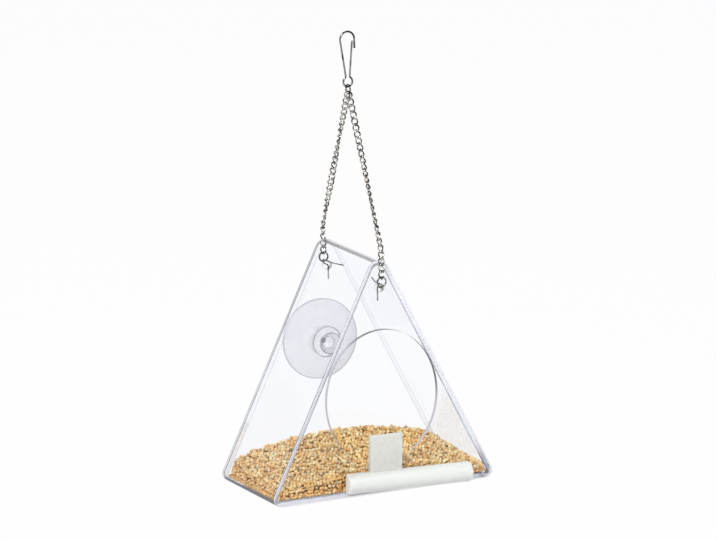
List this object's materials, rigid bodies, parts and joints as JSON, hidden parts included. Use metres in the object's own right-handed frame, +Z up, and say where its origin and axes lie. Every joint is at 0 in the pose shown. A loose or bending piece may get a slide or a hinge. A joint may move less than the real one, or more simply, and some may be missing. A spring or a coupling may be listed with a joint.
{
  "type": "window bird feeder",
  "caption": "Hanging bird feeder: clear triangular acrylic house with a round feeding opening, clip-on perch, suction cup at the back and curb chains that meet under a wire snap clip.",
  "frame": {"origin": "middle of the house's underside", "axes": "+Z up along the hanging chains, -Y towards the feeding opening, +X to the right as seen from the front"},
  "size_m": [0.151, 0.0978, 0.2876],
  "materials": {
    "acrylic": "clear polished sheet",
    "soft_pvc": "clear soft moulding",
    "frosted_plastic": "frosted moulding",
    "nickel": "bright nickel plate",
    "seed": "loose millet"
  },
  "bodies": {
    "clip": {"clip_wire": "nickel"},
    "gate": {"clip_gate": "nickel"},
    "ring": {"top_ring": "nickel"},
    "chain_level_1": {"front_chain_1": "nickel", "back_chain_1": "nickel"},
    "chain_level_2": {"front_chain_2": "nickel", "back_chain_2": "nickel"},
    "chain_level_3": {"front_chain_3": "nickel", "back_chain_3": "nickel"},
    "chain_level_4": {"front_chain_4": "nickel", "back_chain_4": "nickel"},
    "chain_level_5": {"front_chain_5": "nickel", "back_chain_5": "nickel", "front_anchor_ring": "nickel", "back_anchor_ring": "nickel", "front_split_pin": "nickel", "back_split_pin": "nickel"},
    "house": {"wrap_panel": "acrylic", "front_panel": "acrylic", "back_panel": "acrylic", "seed_bed": "seed"},
    "cup": {"suction_cup": "soft_pvc"},
    "perch": {"perch": "frosted_plastic"}
  },
  "joints": [
    {"name": "gate_spring", "type": "hinge", "parent": "clip", "child": "gate", "pos_m": [0.00142, 0, 0.25904], "axis": [0, -1, 0], "range_deg": [0, 15], "stiffness_Nm_per_rad": 0.17},
    {"name": "ring_swing", "type": "hinge", "parent": "clip", "child": "ring", "pos_m": [0, 0, 0.25217], "axis": [1, 0, 0], "range_deg": [-30, 30]},
    {"name": "chain_sway", "type": "hinge", "parent": "ring", "child": "chain_level_1", "pos_m": [0, 0, 0.24787], "axis": [0, 1, 0], "range_deg": [-25, 25]},
    {"name": "chain_bend_2", "type": "hinge", "parent": "chain_level_1", "child": "chain_level_2", "pos_m": [0, 0, 0.22971], "axis": [0, 1, 0], "range_deg": [-12, 12]},
    {"name": "chain_bend_3", "type": "hinge", "parent": "chain_level_2", "child": "chain_level_3", "pos_m": [0, 0, 0.21096], "axis": [0, 1, 0], "range_deg": [-12, 12]},
    {"name": "chain_bend_4", "type": "hinge", "parent": "chain_level_3", "child": "chain_level_4", "pos_m": [0, 0, 0.19221], "axis": [0, 1, 0], "range_deg": [-12, 12]},
    {"name": "chain_bend_5", "type": "hinge", "parent": "chain_level_4", "child": "chain_level_5", "pos_m": [0, 0, 0.17346], "axis": [0, 1, 0], "range_deg": [-12, 12]},
    {"name": "house_swing", "type": "hinge", "parent": "chain_level_5", "child": "house", "pos_m": [0, 0, 0.1328], "axis": [0, 1, 0], "range_deg": [-20, 20]},
    {"name": "cup_turn", "type": "hinge", "parent": "house", "child": "cup", "pos_m": [0, 0.045, 0.081], "axis": [0, 1, 0], "continuous": true},
    {"name": "perch_lift", "type": "slide", "parent": "house", "child": "perch", "axis": [0, 0, 1], "range_m": [0, 0.012]}
  ]
}
